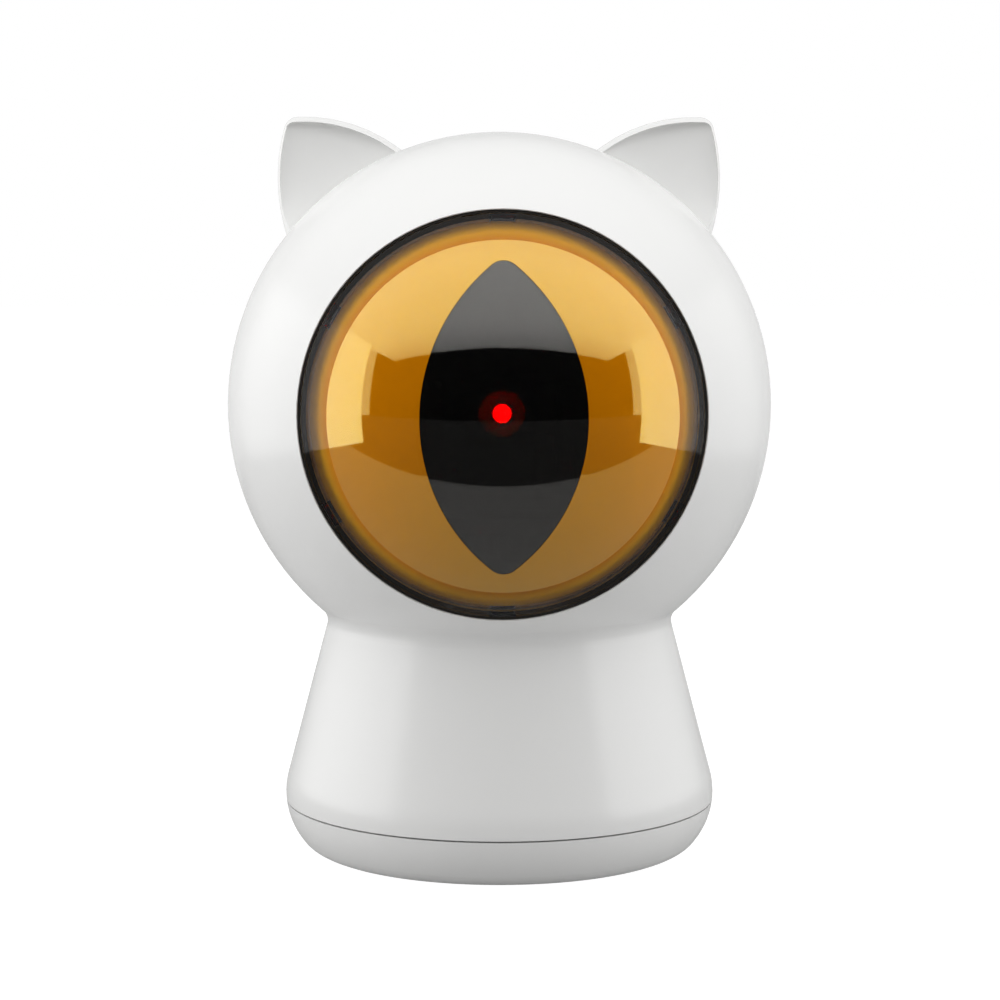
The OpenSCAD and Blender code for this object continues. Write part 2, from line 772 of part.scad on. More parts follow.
module eye_bezel() color([0.03, 0.03, 0.03]) on_eye() {
    flange_z = skirt_z - flange_t;
    difference() {
        union() {
            intersection() {
                translate([0, 0, flange_z]) difference() {
                    cylinder(r = cavity_r, h = flange_t);
                    translate([0, 0, -1]) cylinder(r = sleeve_r - sleeve_t, h = 9);
                }
                sphere(cavity_r - snug);
            }
            // the black lip in the gap round the dome
            translate([0, 0, flange_z]) difference() {
                cylinder(r = eye_r - snug, h = flange_t + skirt_h - 0.5);
                translate([0, 0, -1]) cylinder(r = rim_r + snug, h = 20);
            }
            // the sleeve that carries the iris shell
            intersection() {
                translate([0, 0, flange_z]) difference() {
                    cylinder(r = sleeve_r, h = 20);
                    translate([0, 0, -1]) cylinder(r = sleeve_r - sleeve_t, h = 30);
                }
                sphere(iris_r - iris_t - snug / 2);
            }
            intersection() {
                for (a = bezel_lugs)
                    rotate(a) {
                        translate([bezel_leg_r, -bezel_lug_w / 2, bezel_lug_z])
                            cube([bezel_screw_r + bezel_boss_d / 2 + 0.8 - bezel_leg_r, bezel_lug_w, flange_t]);
                        translate([bezel_leg_r, -bezel_lug_w / 2, bezel_lug_z])
                            cube([bezel_leg_t, bezel_lug_w, flange_z - bezel_lug_z + 0.5]);
                    }
                sphere(cavity_r - snug);
            }
        }
        for (i = [0 : clips - 1])
            rotate(90 + i * 360 / clips)
                translate([rim_r - 2.6, -clip_w / 2 - 0.2, flange_z - 1]) cube([2.5, clip_w + 0.4, flange_t + 1.2]);
        for (a = bezel_lugs)
            rotate(a) translate([bezel_screw_r, 0, bezel_lug_z]) {
                translate([0, 0, -1]) cylinder(d = small_screw_d + pass, h = flange_t + 2);
                translate([0, 0, flange_t]) cylinder(d = bezel_boss_d + 2 * snug, h = head_r / 4);
            }
    }
}

module bezel_screws() color(steel) on_eye()
    for (a = bezel_lugs)
        rotate(a) translate([bezel_screw_r, 0, bezel_lug_z]) mirror([0, 0, 1])
            screw(small_screw_d, bezel_screw_l);

// ---------------------------------------------------------------- gears

function roll(a) = tan(a) * 180 / PI - a;

// Points of an involute gear from tooth first to tooth last, of so many in a full turn
function gear_points(teeth, first, last, phase) =
    let (press = 25,
         pitch_r = tooth_m * teeth / 2,
         base_r = pitch_r * cos(press),
         tip_r = pitch_r + 0.9 * tooth_m,
         root_r = pitch_r - 1.15 * tooth_m,
         half = (90 - 45 * backlash / tooth_m / (PI / 2)) / teeth + roll(press),
         low = max(base_r, root_r),
         steps = 4,
         flank = [for (i = [0 : steps]) low + (tip_r - low) * i / steps],
         wide = [for (r = flank) half - roll(acos(min(1, base_r / r)))])
    [for (k = [first : last])
        let (a = phase + 360 * k / teeth)
        each concat([polar(root_r, a - wide[0])],
                    [for (i = [0 : steps]) polar(flank[i], a - wide[i])],
                    [for (i = [steps : -1 : 0]) polar(flank[i], a + wide[i])],
                    [polar(root_r, a + wide[0])])];

module full_gear(teeth, phase) polygon(gear_points(teeth, 0, teeth - 1, phase));

// ---------------------------------------------------------------- frame and pan drive

pan_at = [0, -pan_y];
pinion_at = [0, pan_c - pan_y];
tab_reach = motor_d / 2 + 2.6;
// Lugs of the mechanism frame: two high ones far out, two low ones nearer the middle
high_lug_x = 29;
low_lug_x = 22;
lug_rise = 4.5;
rib_t = 1.6;
frame_lugs = [[-high_lug_x, frame_top + lug_rise], [high_lug_x, frame_top + lug_rise],
              [-low_lug_x, frame_low - lug_rise], [low_lug_x, frame_low - lug_rise]];

module mechanism_frame() color(grey_plastic) {
    difference() {
        union() {
            intersection() {
                translate([0, 0, frame_low]) cylinder(r = frame_r, h = frame_t);
                translate([-big, pan_at[1] - frame_front, 0]) cube([2 * big, frame_depth, big]);
                sphere_room();
            }
            for (p = frame_lugs)
                translate([p[0] - lug_w / 2, lug_y - lug_t, min(frame_low, p[1] - lug_w / 2)])
                    cube([lug_w, lug_t, abs(p[1] - (frame_low + frame_t / 2)) + lug_w / 2 + frame_t / 2]);
            // ribs beside the lugs
            for (p = frame_lugs)
                translate([p[0] - rib_t / 2, lug_y - 10, p[1] > frame_low ? frame_top - 0.5 : frame_low - 3])
                    cube([rib_t, 10, 3.5]);
            translate([pan_at[0], pan_at[1], frame_top - bush_l])
                cylinder(d = pan_shaft_d + 2 * bush_wall + 4, h = bush_l);
        }
        translate([pan_at[0], pan_at[1], frame_top - 20]) cylinder(d = pan_shaft_d + 2 * bush_wall, h = 40);
        translate([pinion_at[0], pinion_at[1], frame_low - 1]) cylinder(d = motor_collar_d + 0.4, h = 9);
        for (s = [-1, 1])
            translate([pinion_at[0] + s * tab_reach, pinion_at[1], frame_low - 1])
                cylinder(d = small_screw_d + 2 * thread_gap, h = 9);
        for (p = frame_lugs)
            y_rod(p[0], p[1], 0, lug_y + 1, frame_screw_d + pass);
        for (p = frame_lugs)
            y_rod(p[0], p[1], lug_y - lug_t - frame_screw_d, lug_y - lug_t, 1.9 * frame_screw_d + 2 * free);
        for (s = [-1, 1])
            translate([s * 16, 17, frame_low - 1]) cylinder(d = 10, h = 9);
    }
}

module sphere_room() translate([0, 0, head_z]) sphere(cavity_r - 2);

module frame_screws() color(steel)
    for (p = frame_lugs)
        translate([p[0], lug_y - lug_t, p[1]]) rotate([90, 0, 0]) screw(frame_screw_d, frame_screw_l);

module pan_bush() color([0.8, 0.66, 0.36]) translate([pan_at[0], pan_at[1], 0]) {
    difference() {
        union() {
            translate([0, 0, frame_top - bush_l]) cylinder(d = pan_shaft_d + 2 * bush_wall, h = bush_l);
            translate([0, 0, frame_top]) cylinder(d = pan_shaft_d + 2 * bush_wall + 3, h = bush_flange_t);
        }
        translate([0, 0, frame_top - 20]) cylinder(d = pan_shaft_d + 2 * play, h = 40);
    }
}

motor_ear_t = 0.8;
motor_ear_w = 4.4;
motor_collar_d = 5;

// A small can motor: face at z = 0, shaft side up, two ears, a collar and a rear cap
module motor() {
    difference() {
        union() {
            translate([0, 0, -motor_l]) cylinder(d = motor_d, h = motor_l);
            cylinder(d = motor_collar_d, h = 0.9);
            for (s = [-1, 1]) {
                translate([s * tab_reach, 0, -motor_ear_t]) cylinder(d = motor_ear_w, h = motor_ear_t);
                translate([s > 0 ? 0 : -tab_reach, -motor_ear_w / 2, -motor_ear_t])
                    cube([tab_reach, motor_ear_w, motor_ear_t]);
            }
            translate([-3, -motor_d / 2 - 1.2, -motor_l + 1]) cube([6, 3, 4]);
        }
        for (s = [-1, 1])
            translate([s * tab_reach, 0, -3]) cylinder(d = small_screw_d + 2 * thread_gap, h = 6);
        translate([0, 0, -1.5]) cylinder(d = motor_shaft_d + 2 * play, h = 6);
    }
}

module pan_motor() color(steel) translate([pinion_at[0], pinion_at[1], frame_low]) motor();

module pan_motor_screws() color(steel)
    for (s = [-1, 1])
        translate([pinion_at[0] + s * tab_reach, pinion_at[1], frame_low - motor_ear_t]) mirror([0, 0, 1])
            screw(small_screw_d, motor_ear_t + frame_t);

pinion_gap = 0.4;

module pan_motor_shaft() color(steel)
    translate([pinion_at[0], pinion_at[1], frame_low - 1.2])
        cylinder(d = motor_shaft_d, h = gear_top - pinion_gap - frame_low + 1.2);

module pan_pinion() color([0.9, 0.9, 0.86])
    translate([pinion_at[0], pinion_at[1], flange_top]) difference() {
        linear_extrude(gear_w + 0.2 - pinion_gap) full_gear(pinion_teeth, -90 + 180 / pinion_teeth);
        translate([0, 0, -1]) cylinder(d = motor_shaft_d, h = 9);
    }

module pan_gear() color([0.9, 0.9, 0.86])
    translate([pan_at[0], pan_at[1], gear_top - gear_w]) difference() {
        linear_extrude(gear_w) full_gear(pan_teeth, 90);
        translate([0, 0, -1]) cylinder(d = pan_shaft_d, h = 9);
        difference() {
            translate([0, 0, -1]) cylinder(d = tooth_m * pan_teeth - 6, h = 1.8);
            translate([0, 0, -2]) cylinder(d = pan_shaft_d + 4, h = 9);
        }
        for (a = [45 : 90 : 315])
            rotate(a) translate([tooth_m * pan_teeth / 4 + 1, 0, -1]) cylinder(d = 3.4, h = 9);
    }

module pan_shaft() color(steel) {
    low = frame_top - bush_l - 2.2;
    translate([pan_at[0], pan_at[1], low]) difference() {
        cylinder(d = pan_shaft_d, h = gear_top - low);
        translate([0, 0, -1]) cylinder(d = pan_shaft_d / 2, h = 40);
        translate([0, 0, 1]) difference() {
            cylinder(d = pan_shaft_d + 1, h = 0.7);
            translate([0, 0, -1]) cylinder(d = pan_shaft_d - 1, h = 4);
        }
    }
}

module pan_clip() color(steel)
    translate([pan_at[0], pan_at[1], frame_top - bush_l - 2.2 + 1.05]) difference() {
        cylinder(d = pan_shaft_d + 4, h = 0.6);
        translate([0, 0, -1]) cylinder(d = pan_shaft_d - 1, h = 4);
        translate([-pan_shaft_d / 2 + 0.7, -10, -1]) cube([pan_shaft_d - 1.4, 10, 4]);
    }

// ---------------------------------------------------------------- yoke and tilt drive

arm_x = yoke_w / 2;
tilt_motor_x = arm_x + yoke_t;

// Side view of an arm, from the tilt axis; the motor's arm reaches back to its shaft
module arm_shape(with_motor) {
    circle(r = 5);
    translate([-5, -yoke_h - yoke_t]) square([10, yoke_h + yoke_t]);
    if (with_motor) {
        reach = tab_reach + 2.4;
        translate(tilt_mesh) circle(r = motor_d / 2 + 0.6);
        translate(tilt_mesh) rotate(45) square([2 * reach, 5.4], center = true);
        polygon([[0, -2], [0, -yoke_h], [tilt_mesh[0] + 3, -yoke_h], tilt_mesh + [5, 0], tilt_mesh + [0, 6]]);
    }
}

module pan_yoke() color([0.82, 0.83, 0.85]) {
    difference() {
        union() {
            intersection() {
                translate([pan_at[0], pan_at[1], gear_top]) cylinder(d = 2 * tilt_motor_x + 3, h = yoke_t);
                translate([-tilt_motor_x, pan_at[1] - 8, 0]) cube([2 * tilt_motor_x, 16, big]);
            }
            on_side(arm_x) linear_extrude(yoke_t) arm_shape(true);
            on_side(-arm_x - yoke_t) linear_extrude(yoke_t) arm_shape(false);
        }
        on_side(-arm_x - 10) cylinder(d = trunnion_d + 2, h = 2 * arm_x + 20);
        on_side(0) translate([tilt_mesh[0], tilt_mesh[1], 0]) {
            cylinder(d = motor_collar_d + 0.4, h = 20);
            rotate(-tilt_dir) for (s = [-1, 1])
                translate([s * tab_reach, 0, 0]) cylinder(d = small_screw_d + 2 * thread_gap, h = 20);
        }
        translate([pan_at[0], pan_at[1], 0]) cylinder(d = pan_shaft_d / 2, h = big);
    }
}

module tilt_bushes() color([0.8, 0.66, 0.36])
    for (s = [-1, 1])
        on_side(s * (arm_x + yoke_t / 2)) difference() {
            union() {
                translate([0, 0, -yoke_t / 2]) cylinder(d = trunnion_d + 2, h = yoke_t);
                translate([0, 0, s > 0 ? yoke_t / 2 : -yoke_t / 2 - 0.6]) cylinder(d = trunnion_d + 4, h = 0.6);
            }
            translate([0, 0, -9]) cylinder(d = trunnion_d + 2 * play, h = 18);
        }

// The tilt motor's frame: shaft along -X, ears across the mesh direction
module at_tilt_motor()
    on_side(tilt_motor_x) translate([tilt_mesh[0], tilt_mesh[1], 0]) rotate(45) mirror([0, 0, 1]) children();

module tilt_motor() color(steel) at_tilt_motor() motor();

module tilt_motor_screws() color(steel) at_tilt_motor()
    for (s = [-1, 1])
        translate([s * tab_reach, 0, -motor_ear_t]) mirror([0, 0, 1])
            screw(small_screw_d, motor_ear_t + yoke_t);

tilt_gear_x = 6.6;
tilt_gear_w = arm_x - 1 - tilt_gear_x;

module tilt_motor_shaft() color(steel)
    at_tilt_motor() translate([0, 0, -1.2]) cylinder(d = motor_shaft_d, h = tilt_motor_x - tilt_gear_x + 1.4);

module tilt_pinion() color([0.9, 0.9, 0.86])
    on_side(tilt_gear_x - 0.2) translate([tilt_mesh[0], tilt_mesh[1], 0]) difference() {
        linear_extrude(tilt_gear_w + 0.4) full_gear(pinion_teeth, tilt_dir + 180 + 180 / pinion_teeth);
        translate([0, 0, -1]) cylinder(d = motor_shaft_d, h = 9);
    }

module tilt_gear() color([0.9, 0.9, 0.86]) on_side(tilt_gear_x) {
    difference() {
        linear_extrude(tilt_gear_w) difference() {
            union() {
                circle(r = 4.6);
                polygon(concat([[0, 0]], gear_points(tilt_teeth, -4, 2, tilt_dir)));
            }
            translate(polar(8, tilt_dir - 12)) circle(d = 3.4);
        }
        translate([0, 0, -1]) cylinder(d = trunnion_d, h = 9);
    }
}

cradle_x = tilt_gear_x - 0.1;
cradle_l = 10;
cradle_t = 2.2;
// Where the clamp screw crosses over the barrel, and how far it reaches past the middle
clamp_at = [-pan_y + 3, head_z + barrel_d / 2 + clamp_screw_d / 2 + 0.25];
clamp_tip = 3;

module laser_cradle() color([0.25, 0.26, 0.28]) {
    difference() {
        union() {
            on_side(-cradle_x) linear_extrude(2 * cradle_x) {
                square([cradle_l, barrel_d + 2 * cradle_t], center = true);
                intersection() {
                    square([cradle_l + 3.4, barrel_d], center = true);
                    for (s = [-1, 1])
                        translate([s * cradle_l / 2, 0]) circle(d = barrel_d - ease);
                }
            }
            on_side(-tilt_motor_x) cylinder(d = trunnion_d, h = 2 * tilt_motor_x);
            on_side(-arm_x + free) cylinder(d = trunnion_d + 3, h = arm_x);
        }
        translate([0, -pan_y, head_z]) rotate([90, 0, 0])
            translate([0, 0, -barrel_l]) cylinder(d = barrel_d + 2 * thread_gap, h = 2 * barrel_l);
        translate([-0.6, -pan_y - 10, head_z + barrel_d / 2 - 1]) cube([1.2, 20, 9]);
        translate([-cradle_x - 1, clamp_at[0], clamp_at[1]]) rotate([0, 90, 0])
            cylinder(d = clamp_screw_d + 2 * thread_gap, h = cradle_x + clamp_tip + 1.5);
    }
}

barrel_front = pan_y + barrel_l * 0.62;

module laser_barrel() color([0.72, 0.6, 0.3]) on_eye() {
    back = barrel_front - barrel_l;
    difference() {
        union() {
            translate([0, 0, back]) cylinder(d = barrel_d, h = barrel_l);
            translate([-2.6, -2, back - 1.6]) cube([5.2, 4, 1.6]);
        }
        translate([0, 0, barrel_front - 1.6]) cylinder(d = barrel_d - 2, h = 3);
        translate([0, 0, barrel_front - 4]) cylinder(d = beam_d, h = 9);
        for (z = [2, 3.4])
            translate([0, 0, barrel_front - z - 0.6]) difference() {
                cylinder(d = barrel_d + 2, h = 0.6);
                translate([0, 0, -1]) cylinder(d = barrel_d - 0.5, h = 4);
            }
    }
}

module laser_lens() color([0.9, 0.05, 0.05]) on_eye() translate([0, 0, barrel_front - 3.6]) {
    cylinder(d = beam_d, h = 1.6);
    intersection() {
        translate([0, 0, 1.6 - beam_d / 2]) sphere(beam_d * 0.7);
        translate([0, 0, 1.5]) cylinder(d = beam_d, h = 2);
    }
}

module laser_clamp_screw() color(steel)
    translate([-cradle_x, clamp_at[0], clamp_at[1]]) rotate([0, -90, 0])
        screw(clamp_screw_d, cradle_x + clamp_tip);

// ---------------------------------------------------------------- boards and power button

board_posts = [[-18, -20], [18, -20], [-18, 18], [18, 18]];
lead_x = cell_pitch - 3.5;
lead_holes = [[-lead_x, bay_l / 2 + contact_t / 2], [lead_x, -bay_l / 2 - contact_t / 2]];

board_front = -31;

module main_board() color(board_green) {
    difference() {
        intersection() {
            translate([0, 0, board_z]) cylinder(r = side_r(board_top, wall) - 1.5, h = board_t);
            translate([-board_w / 2, board_front, 0]) cube([board_w, big, big]);
        }
        for (p = board_posts)
            z_rod(p, board_z - 1, board_top + 1, small_screw_d + pass);
        for (p = lead_holes)
            z_rod(p, board_z - 1, board_top + 1, wire_d + 2 * snug);
    }
}

module board_screws() color(steel)
    for (p = board_posts)
        translate([p[0], p[1], board_top]) screw(small_screw_d, board_t + 3);

// Chips, capacitors, an inductor and the lead sockets on the main board
module board_parts() {
    controller = [9, 9, 1.2];
    driver = [5, 4, 1.5];
    inductor = [6, 6, 3];
    can_d = 5;
    can_h = 6;
    color([0.08, 0.08, 0.08]) {
        translate([-6, -9, board_top]) cube(controller);
        translate([9, -3, board_top]) cube(driver);
        translate([9, 7, board_top]) cube(inductor);
    }
    color([0.2, 0.2, 0.3]) for (x = [-15, -9])
        translate([x, 10, board_top]) cylinder(d = can_d, h = can_h);
    color([0.92, 0.9, 0.84]) for (p = sockets)
        translate([p[0] - 3, p[1] - 2.2, board_top]) cube([6, 4.4, socket_h]);
}

// Sockets of the leads from the pan motor and from the button's board
wire_d = 1.2;
wire_pitch = 1.6;
socket_h = 4.5;
sockets = [[pinion_at[0] - 2, pinion_at[1]], [9, button_board_y - board_t]];

radio_l = 18;
radio_w = 8;
radio_t = 0.8;
radio_can_h = 1.8;
radio_pads = 8;

module radio_module() color([0.7, 0.72, 0.74])
    translate([-radio_l / 2, board_front + 2, board_top]) difference() {
        union() {
            cube([radio_l, radio_w, radio_t]);
            translate([radio_l / 6, radio_t, radio_t]) cube([radio_l * 2 / 3, radio_w - 2 * radio_t, radio_can_h]);
        }
        for (i = [0 : radio_pads - 1])
            translate([(i + 1) * radio_l / (radio_pads + 1), radio_w + 0.1, -1]) cylinder(d = 0.9, h = radio_t + 2);
    }

module usb_socket() color(steel) {
    z = board_top + inlet_h / 2;
    mouth = side_r(z) - 0.6;
    difference() {
        inlet_slot(z, mouth - 7.3, 0, mouth);
        inlet_slot(z, mouth - 6.3, -0.35, mouth + 1);
    }
    translate([-3.2, mouth - 6.8, z - 0.3]) cube([6.4, 5.8, 0.6]);
}

// The round button: its outer face follows the base's side, a flange keeps it in
module power_button() color(shell_white) {
    lip_d = button_d + 2.6;
    flange_y = side_r(button_z + lip_d / 2, wall) - free;
    intersection() {
        y_rod(0, button_z, flange_y - 0.5, head_r, button_d);
        translate([0, 0, button_z - button_d])
            cylinder(r1 = side_r(button_z - button_d, -button_proud),
                     r2 = side_r(button_z + button_d, -button_proud), h = 2 * button_d);
    }
    y_rod(0, button_z, flange_y - 1.2, flange_y, lip_d);
    y_rod(0, button_z, switch_face + 1.6, flange_y - 1, 3);
}

switch_face = button_board_y + 3.4;

module switch_stem() color([0.1, 0.1, 0.1])
    y_rod(0, button_z, switch_face - 0.6, switch_face + 1.6, 3.4);

module tact_switch() color([0.16, 0.16, 0.17]) difference() {
    translate([-3, button_board_y, button_z - 3]) cube([6, 3.4, 6]);
    y_rod(0, button_z, switch_face - 0.6 - button_travel - free, switch_face + 1, 3.4 + 2 * play);
}

module button_board() color(board_green) difference() {
    translate([-10.5, button_board_y - board_t, button_z - 5]) cube([21, board_t, 10]);
    for (s = [-1, 1])
        y_rod(s * button_screw_x, button_z, button_board_y - 5, button_board_y + 1, small_screw_d + pass);
}

module button_board_screws() color(steel)
    for (s = [-1, 1])
        translate([s * button_screw_x, button_board_y - board_t, button_z]) rotate([90, 0, 0])
            screw(small_screw_d, board_t + button_screw_l - 1);

// ---------------------------------------------------------------- leads

// Stiff wires from the contact plates up through the main board, soldered on top
module battery_leads() {
    solder_h = 1.2;
    for (p = lead_holes)
        color(p[0] < 0 ? [0.75, 0.1, 0.1] : [0.1, 0.1, 0.1]) {
            z_rod(p, tray_z - 0.6, board_top + solder_h, wire_d);
            translate([p[0], p[1], board_top]) cylinder(d1 = 2.2 * wire_d, d2 = 0.8 * wire_d, h = solder_h);
        }
}

module motor_lead() color([0.2, 0.25, 0.6])
    for (s = [-1, 1])
        z_rod(sockets[0] + [s * wire_pitch / 2, 0], board_top + socket_h, frame_low - motor_l, wire_d);

// Two wires against the button's board, each soldered to it at the top
module button_lead() color([0.2, 0.25, 0.6]) {
    face_y = button_board_y - board_t;
    solder_w = 1.4;
    solder_z = button_z - 2.5;
    for (s = [-1, 1]) {
        x = sockets[1][0] + s * wire_pitch / 2 - 1;
        z_rod([x, face_y - wire_d / 2 - snug / 2], board_top + socket_h, solder_z, wire_d);
        translate([x - solder_w / 2, face_y - wire_d, solder_z - solder_w]) cube([solder_w, wire_d, solder_w]);
    }
}

front_shell();
rear_shell();
base_cover();
foot_ring();
eye_lens();
iris_shell();
pupil_window();
eye_bezel();
bezel_screws();
mechanism_frame();
frame_screws();
pan_bush();
pan_motor();
pan_motor_screws();
pan_motor_shaft();
pan_pinion();
pan_yoke();
pan_gear();
pan_shaft();
pan_clip();
tilt_bushes();
tilt_motor();
tilt_motor_screws();
tilt_motor_shaft();
tilt_pinion();
laser_cradle();
tilt_gear();
laser_barrel();
laser_lens();
laser_clamp_screw();
battery_tray();
tray_screws();
battery_cell(cells[0][0], cells[0][1]);  // cell_left
battery_cell(cells[1][0], cells[1][1]);  // cell_middle
battery_cell(cells[2][0], cells[2][1]);  // cell_right
contact_springs();
contact_plates();
main_board();
board_screws();
board_parts();
radio_module();
usb_socket();
power_button();
switch_stem();
tact_switch();
button_board();
button_board_screws();
battery_leads();
motor_lead();
button_lead();
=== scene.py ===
import json
import math

import bpy
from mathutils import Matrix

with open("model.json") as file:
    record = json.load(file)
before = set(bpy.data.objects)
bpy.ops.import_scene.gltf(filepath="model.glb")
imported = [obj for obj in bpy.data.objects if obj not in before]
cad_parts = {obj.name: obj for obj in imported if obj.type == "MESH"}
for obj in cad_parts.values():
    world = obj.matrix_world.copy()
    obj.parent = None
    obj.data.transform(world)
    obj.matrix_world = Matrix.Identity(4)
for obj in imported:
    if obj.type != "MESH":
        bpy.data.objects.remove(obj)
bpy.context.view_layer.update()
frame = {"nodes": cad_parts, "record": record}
nodes = frame["nodes"]
scene = bpy.context.scene

# ------------------------------------------------------------------ sizes, in metres
HEAD_Z = 0.0825
# radii about the eye's axis: the dome's rim, the iris's edge and the foot of its skirt
RIM_R = 0.03465
IRIS_R = 0.02955
SKIRT_R = 0.03275

# ------------------------------------------------------------------ colours and optics
AMBER = (0.74, 0.245, 0.0006, 1)
IRIS_GLOSS_TINT = (1.0, 0.9, 0.06, 1)
SHELL_WHITE = (0.86, 0.86, 0.85, 1)
DOME_IOR = 1.585
DOME_GLOSS = 0.12
IRIS_IOR = 2.6
IRIS_COAT_IOR = 1.6
PUPIL_COAT_IOR = 1.64
PUPIL_ALPHA = 0.87
COAT_ROUGHNESS = 0.02
LASER_STRENGTH = 72
# the iris's gloss ends between these two radii
GLOSS_END = IRIS_R - 0.00004
GLOSS_GONE = IRIS_R + 0.00002
# the painted amber light on the bezel fades between these two radii
RIM_LIGHT_FULL = SKIRT_R - 0.0006
RIM_LIGHT_GONE = RIM_R - 0.0004

# ------------------------------------------------------------------ camera
CAM_AWAY = 0.46175
CAM_HIGH = math.radians(3.22)
CAM_SIDE = math.radians(0.98)
CAM_PITCH = math.radians(5.41)
CAM_YAW = math.radians(0.994)
SENSOR_MM = 36
LENS_MM = 89.7

cam = bpy.data.objects.new("camera", bpy.data.cameras.new("camera"))
scene.collection.objects.link(cam)
flat = CAM_AWAY * math.cos(CAM_HIGH)
cam_z = HEAD_Z + CAM_AWAY * math.sin(CAM_HIGH)
cam.location = (-flat * math.sin(CAM_SIDE), -flat * math.cos(CAM_SIDE), cam_z)
cam.rotation_euler = (math.radians(90) - CAM_PITCH, 0, -CAM_YAW)
cam.data.sensor_width = SENSOR_MM
cam.data.lens = LENS_MM
cam.data.clip_start = 0.01
cam.data.clip_end = 50
scene.camera = cam
scene.view_settings.view_transform = "Standard"


# ------------------------------------------------------------------ material tools
def new_material(name, color=(0.8, 0.8, 0.8, 1), rough=0.5, metal=0.0, **sockets):
    mat = bpy.data.materials.new(name)
    mat.use_nodes = True
    bsdf = mat.node_tree.nodes["Principled BSDF"]
    bsdf.inputs["Base Color"].default_value = color
    bsdf.inputs["Roughness"].default_value = rough
    bsdf.inputs["Metallic"].default_value = metal
    for key, value in sockets.items():
        bsdf.inputs[key.replace("_", " ")].default_value = value
    mat.diffuse_color = color
    return mat, bsdf


def add(mat, kind, **values):
    node = mat.node_tree.nodes.new(kind)
    for key, value in values.items():
        if key in node.inputs:
            node.inputs[key].default_value = value
        else:
            setattr(node, key, value)
    return node


def wire(mat, a, b):
    mat.node_tree.links.new(a, b)


def coords(mat):
    return add(mat, "ShaderNodeTexCoord").outputs["Object"]


def noise(mat, scale, detail=2.0, stretch=None):
    tex = add(mat, "ShaderNodeTexNoise", Scale=scale, Detail=detail)
    source = coords(mat)
    if stretch:
        mapping = add(mat, "ShaderNodeMapping")
        mapping.inputs["Scale"].default_value = stretch
        wire(mat, source, mapping.inputs["Vector"])
        source = mapping.outputs["Vector"]
    wire(mat, source, tex.inputs["Vector"])
    return tex.outputs["Fac"]


def ramp(mat, source, stops):
    """Colours between the given stops, as (position, colour)."""
    node = add(mat, "ShaderNodeValToRGB")
    elements = node.color_ramp.elements
    while len(elements) > 1:
        elements.remove(elements[-1])
    elements[0].position, elements[0].color = stops[0]
    for position, color in stops[1:]:
        elements.new(position).color = color
    wire(mat, source, node.inputs["Fac"])
    return node.outputs["Color"]


def span(mat, source, low, high, out_low, out_high):
    """Maps low..high to out_low..out_high, held at both ends."""
    node = add(mat, "ShaderNodeMapRange")
    node.inputs["From Min"].default_value = low
    node.inputs["From Max"].default_value = high
    node.inputs["To Min"].default_value = out_low
    node.inputs["To Max"].default_value = out_high
    wire(mat, source, node.inputs["Value"])
    return node.outputs["Result"]


def bump(mat, bsdf, height, strength, distance):
    node = add(mat, "ShaderNodeBump", Strength=strength, Distance=distance)
    wire(mat, height, node.inputs["Height"])
    wire(mat, node.outputs["Normal"], bsdf.inputs["Normal"])


def grey(v):
    return (v, v, v, 1)


def shade(color, k):
    return (color[0] * k, color[1] * k, color[2] * k, 1)


def mottled(mat, bsdf, color, scale, darkest):
    """A colour with a faint cloud over it, down to darkest times the colour."""
    tone = add(mat, "ShaderNodeMix", data_type="RGBA", blend_type="MULTIPLY")
    tone.inputs["Factor"].default_value = 1.0
    wire(mat, color, tone.inputs["A"])
    cloud = ramp(mat, noise(mat, scale, 3), [(0.3, grey(darkest)), (0.7, grey(1.0))])
    wire(mat, cloud, tone.inputs["B"])
    wire(mat, tone.outputs["Result"], bsdf.inputs["Base Color"])


def plastic(name, color, rough, grain=9000, grain_depth=0.000004, vary=0.03, spread=0.06, **sockets):
    """Moulded plastic: a fine skin, faint flow marks in the colour and a roughness that wanders."""
    mat, bsdf = new_material(name, color, rough, **sockets)
    flow = noise(mat, 38, 3)
    wire(mat, ramp(mat, flow, [(0.3, shade(color, 1 - vary)), (0.7, color)]), bsdf.inputs["Base Color"])
    wire(mat, span(mat, noise(mat, 160, 4), 0.3, 0.7, rough - spread / 2, rough + spread / 2),
         bsdf.inputs["Roughness"])
    bump(mat, bsdf, noise(mat, grain, 2), 0.25, grain_depth)
    return mat


def metal(name, color, rough, stretch=(1, 1, 14), scale=700, depth=0.000006):
    """Turned or rolled metal: fine drawn lines in the finish."""
    mat, bsdf = new_material(name, color, rough, 1.0)
    lines = noise(mat, scale, 3, stretch)
    wire(mat, span(mat, lines, 0.3, 0.7, rough * 0.75, rough * 1.3), bsdf.inputs["Roughness"])
    clouds = ramp(mat, noise(mat, 90, 3), [(0.3, shade(color, 0.86)), (0.7, color)])
    wire(mat, clouds, bsdf.inputs["Base Color"])
    bump(mat, bsdf, lines, 0.3, depth)
    return mat


MATS = {}
MATS["shell"] = plastic("shell_white", SHELL_WHITE, 0.22, grain=5200, vary=0.012, spread=0.05)
MATS["tray"] = plastic("tray_plastic", (0.62, 0.62, 0.6, 1), 0.5)
MATS["nylon"] = plastic("acetal", (0.78, 0.77, 0.7, 1), 0.38)
MATS["black"] = plastic("black_plastic", (0.014, 0.014, 0.015, 1), 0.36, vary=0.2)
MATS["grey"] = plastic("grey_plastic", (0.1, 0.104, 0.11, 1), 0.46)
MATS["chips"] = plastic("chip_plastic", (0.02, 0.02, 0.021, 1), 0.5)
MATS["cell"] = plastic("cell_sleeve", (0.03, 0.03, 0.035, 1), 0.24, vary=0.1)
MATS["wire"] = plastic("wire_sleeve", (0.03, 0.05, 0.3, 1), 0.4)
MATS["steel"] = metal("zinc_steel", (0.55, 0.56, 0.58, 1), 0.28)
